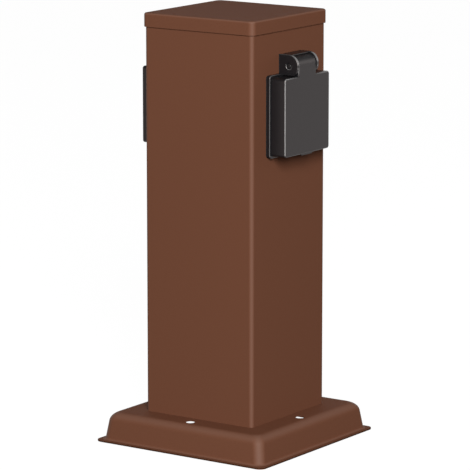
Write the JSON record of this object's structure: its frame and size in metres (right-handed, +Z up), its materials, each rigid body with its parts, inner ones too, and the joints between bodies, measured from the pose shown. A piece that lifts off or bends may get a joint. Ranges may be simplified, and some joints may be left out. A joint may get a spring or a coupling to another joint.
{
  "type": "garden socket post",
  "caption": "Square brown metal post on a flared plinth, with a flat cap and black hinged splash lids over earthed mains sockets on opposite sides.",
  "frame": {"origin": "on the ground at the middle of the plinth", "axes": "+Z up the column; the sockets face +X (right) and -X (left); +Y is the wall with the terminals"},
  "size_m": [0.1732, 0.1732, 0.369],
  "materials": {
    "brown_powder_coat": "fine-textured matt powder coat on sheet steel",
    "black_moulding": "satin moulded plastic",
    "grey_moulding": "moulded socket plastic",
    "black_rubber": "moulded sealing rubber",
    "white_moulding": "moulded terminal plastic",
    "zinc_steel": "zinc-plated steel",
    "blackened_steel": "black-oxide steel",
    "brass": "stamped brass",
    "live_insulation": "brown wire insulation",
    "neutral_insulation": "blue wire insulation",
    "earth_insulation": "green and yellow wire insulation"
  },
  "bodies": {
    "post": {"base_plinth": "brown_powder_coat", "column": "brown_powder_coat", "top_cap": "brown_powder_coat", "cap_seal": "black_rubber", "cap_clips": "zinc_steel", "foot_frame": "zinc_steel", "foot_bolts": "zinc_steel", "foot_nuts": "zinc_steel", "cable_grommet": "black_rubber", "terminal_bracket": "zinc_steel", "terminal_block": "white_moulding", "terminal_bars": "brass", "terminal_screws": "zinc_steel", "block_screws": "zinc_steel", "earth_stud": "zinc_steel", "earth_lug": "zinc_steel", "earth_nut": "zinc_steel", "bond_wire": "earth_insulation", "right_frame": "black_moulding", "right_gasket": "black_rubber", "right_frame_screws": "zinc_steel", "right_insert": "grey_moulding", "right_contact_base": "grey_moulding", "right_contacts": "brass", "right_contact_screws": "zinc_steel", "right_earth_clip": "brass", "right_hinge_pin": "blackened_steel", "right_lid_spring": "zinc_steel", "right_live_wire": "live_insulation", "right_neutral_wire": "neutral_insulation", "right_earth_wire": "earth_insulation", "left_frame": "black_moulding", "left_gasket": "black_rubber", "left_frame_screws": "zinc_steel", "left_insert": "grey_moulding", "left_contact_base": "grey_moulding", "left_contacts": "brass", "left_contact_screws": "zinc_steel", "left_earth_clip": "brass", "left_hinge_pin": "blackened_steel", "left_lid_spring": "zinc_steel", "left_live_wire": "live_insulation", "left_neutral_wire": "neutral_insulation", "left_earth_wire": "earth_insulation"},
    "right_lid": {"right_lid": "black_moulding", "right_lid_seal": "black_rubber"},
    "left_lid": {"left_lid": "black_moulding", "left_lid_seal": "black_rubber"}
  },
  "joints": [
    {"name": "right_lid_hinge", "type": "hinge", "parent": "post", "child": "right_lid", "pos_m": [0.0652, 0, 0.3284], "axis": [0, -1, 0], "range_deg": [0, 95], "stiffness_Nm_per_rad": 0.02, "springref_deg": -34.38, "deforming": ["right_lid_spring"]},
    {"name": "left_lid_hinge", "type": "hinge", "parent": "post", "child": "left_lid", "pos_m": [-0.0652, 0, 0.3284], "axis": [0, 1, 0], "range_deg": [0, 95], "stiffness_Nm_per_rad": 0.02, "springref_deg": -34.38, "deforming": ["left_lid_spring"]}
  ]
}
